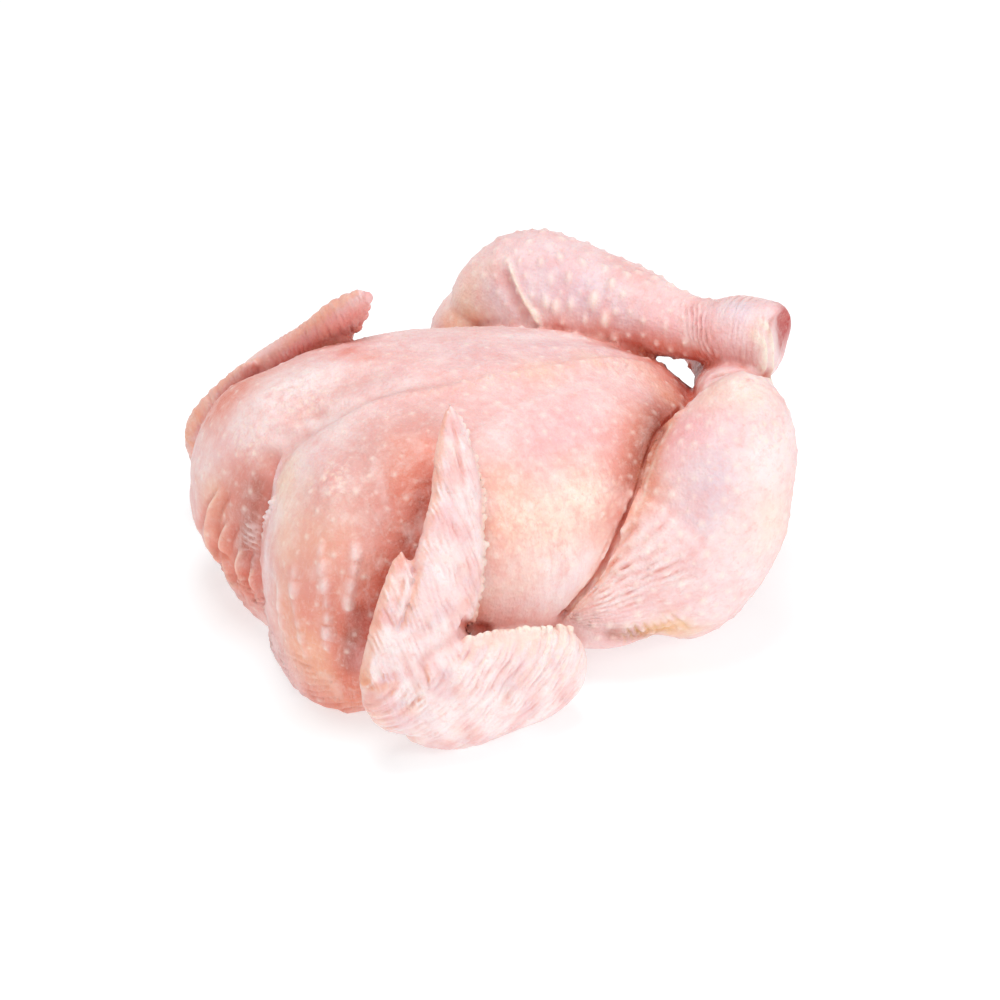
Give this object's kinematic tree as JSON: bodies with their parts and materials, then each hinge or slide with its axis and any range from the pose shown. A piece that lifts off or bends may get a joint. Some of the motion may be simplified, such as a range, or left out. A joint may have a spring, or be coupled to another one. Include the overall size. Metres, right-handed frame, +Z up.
{
  "type": "whole raw chicken",
  "caption": "Whole raw plucked chicken on its back, breast up, legs crossed over the tail and wing tips standing up; one solid of skin, flesh and bone.",
  "frame": {"origin": "on the table, under the middle of the bird's overall box", "axes": "+X from the neck to the tail, +Y to the bird's left, +Z up, out of the breast"},
  "size_m": [0.216, 0.1964, 0.1113],
  "materials": {
    "skin": "moist, pale pink, mottled with cream fat and feather follicles"
  },
  "bodies": {
    "root": {"whole_raw_chicken": "skin"}
  },
  "joints": []
}
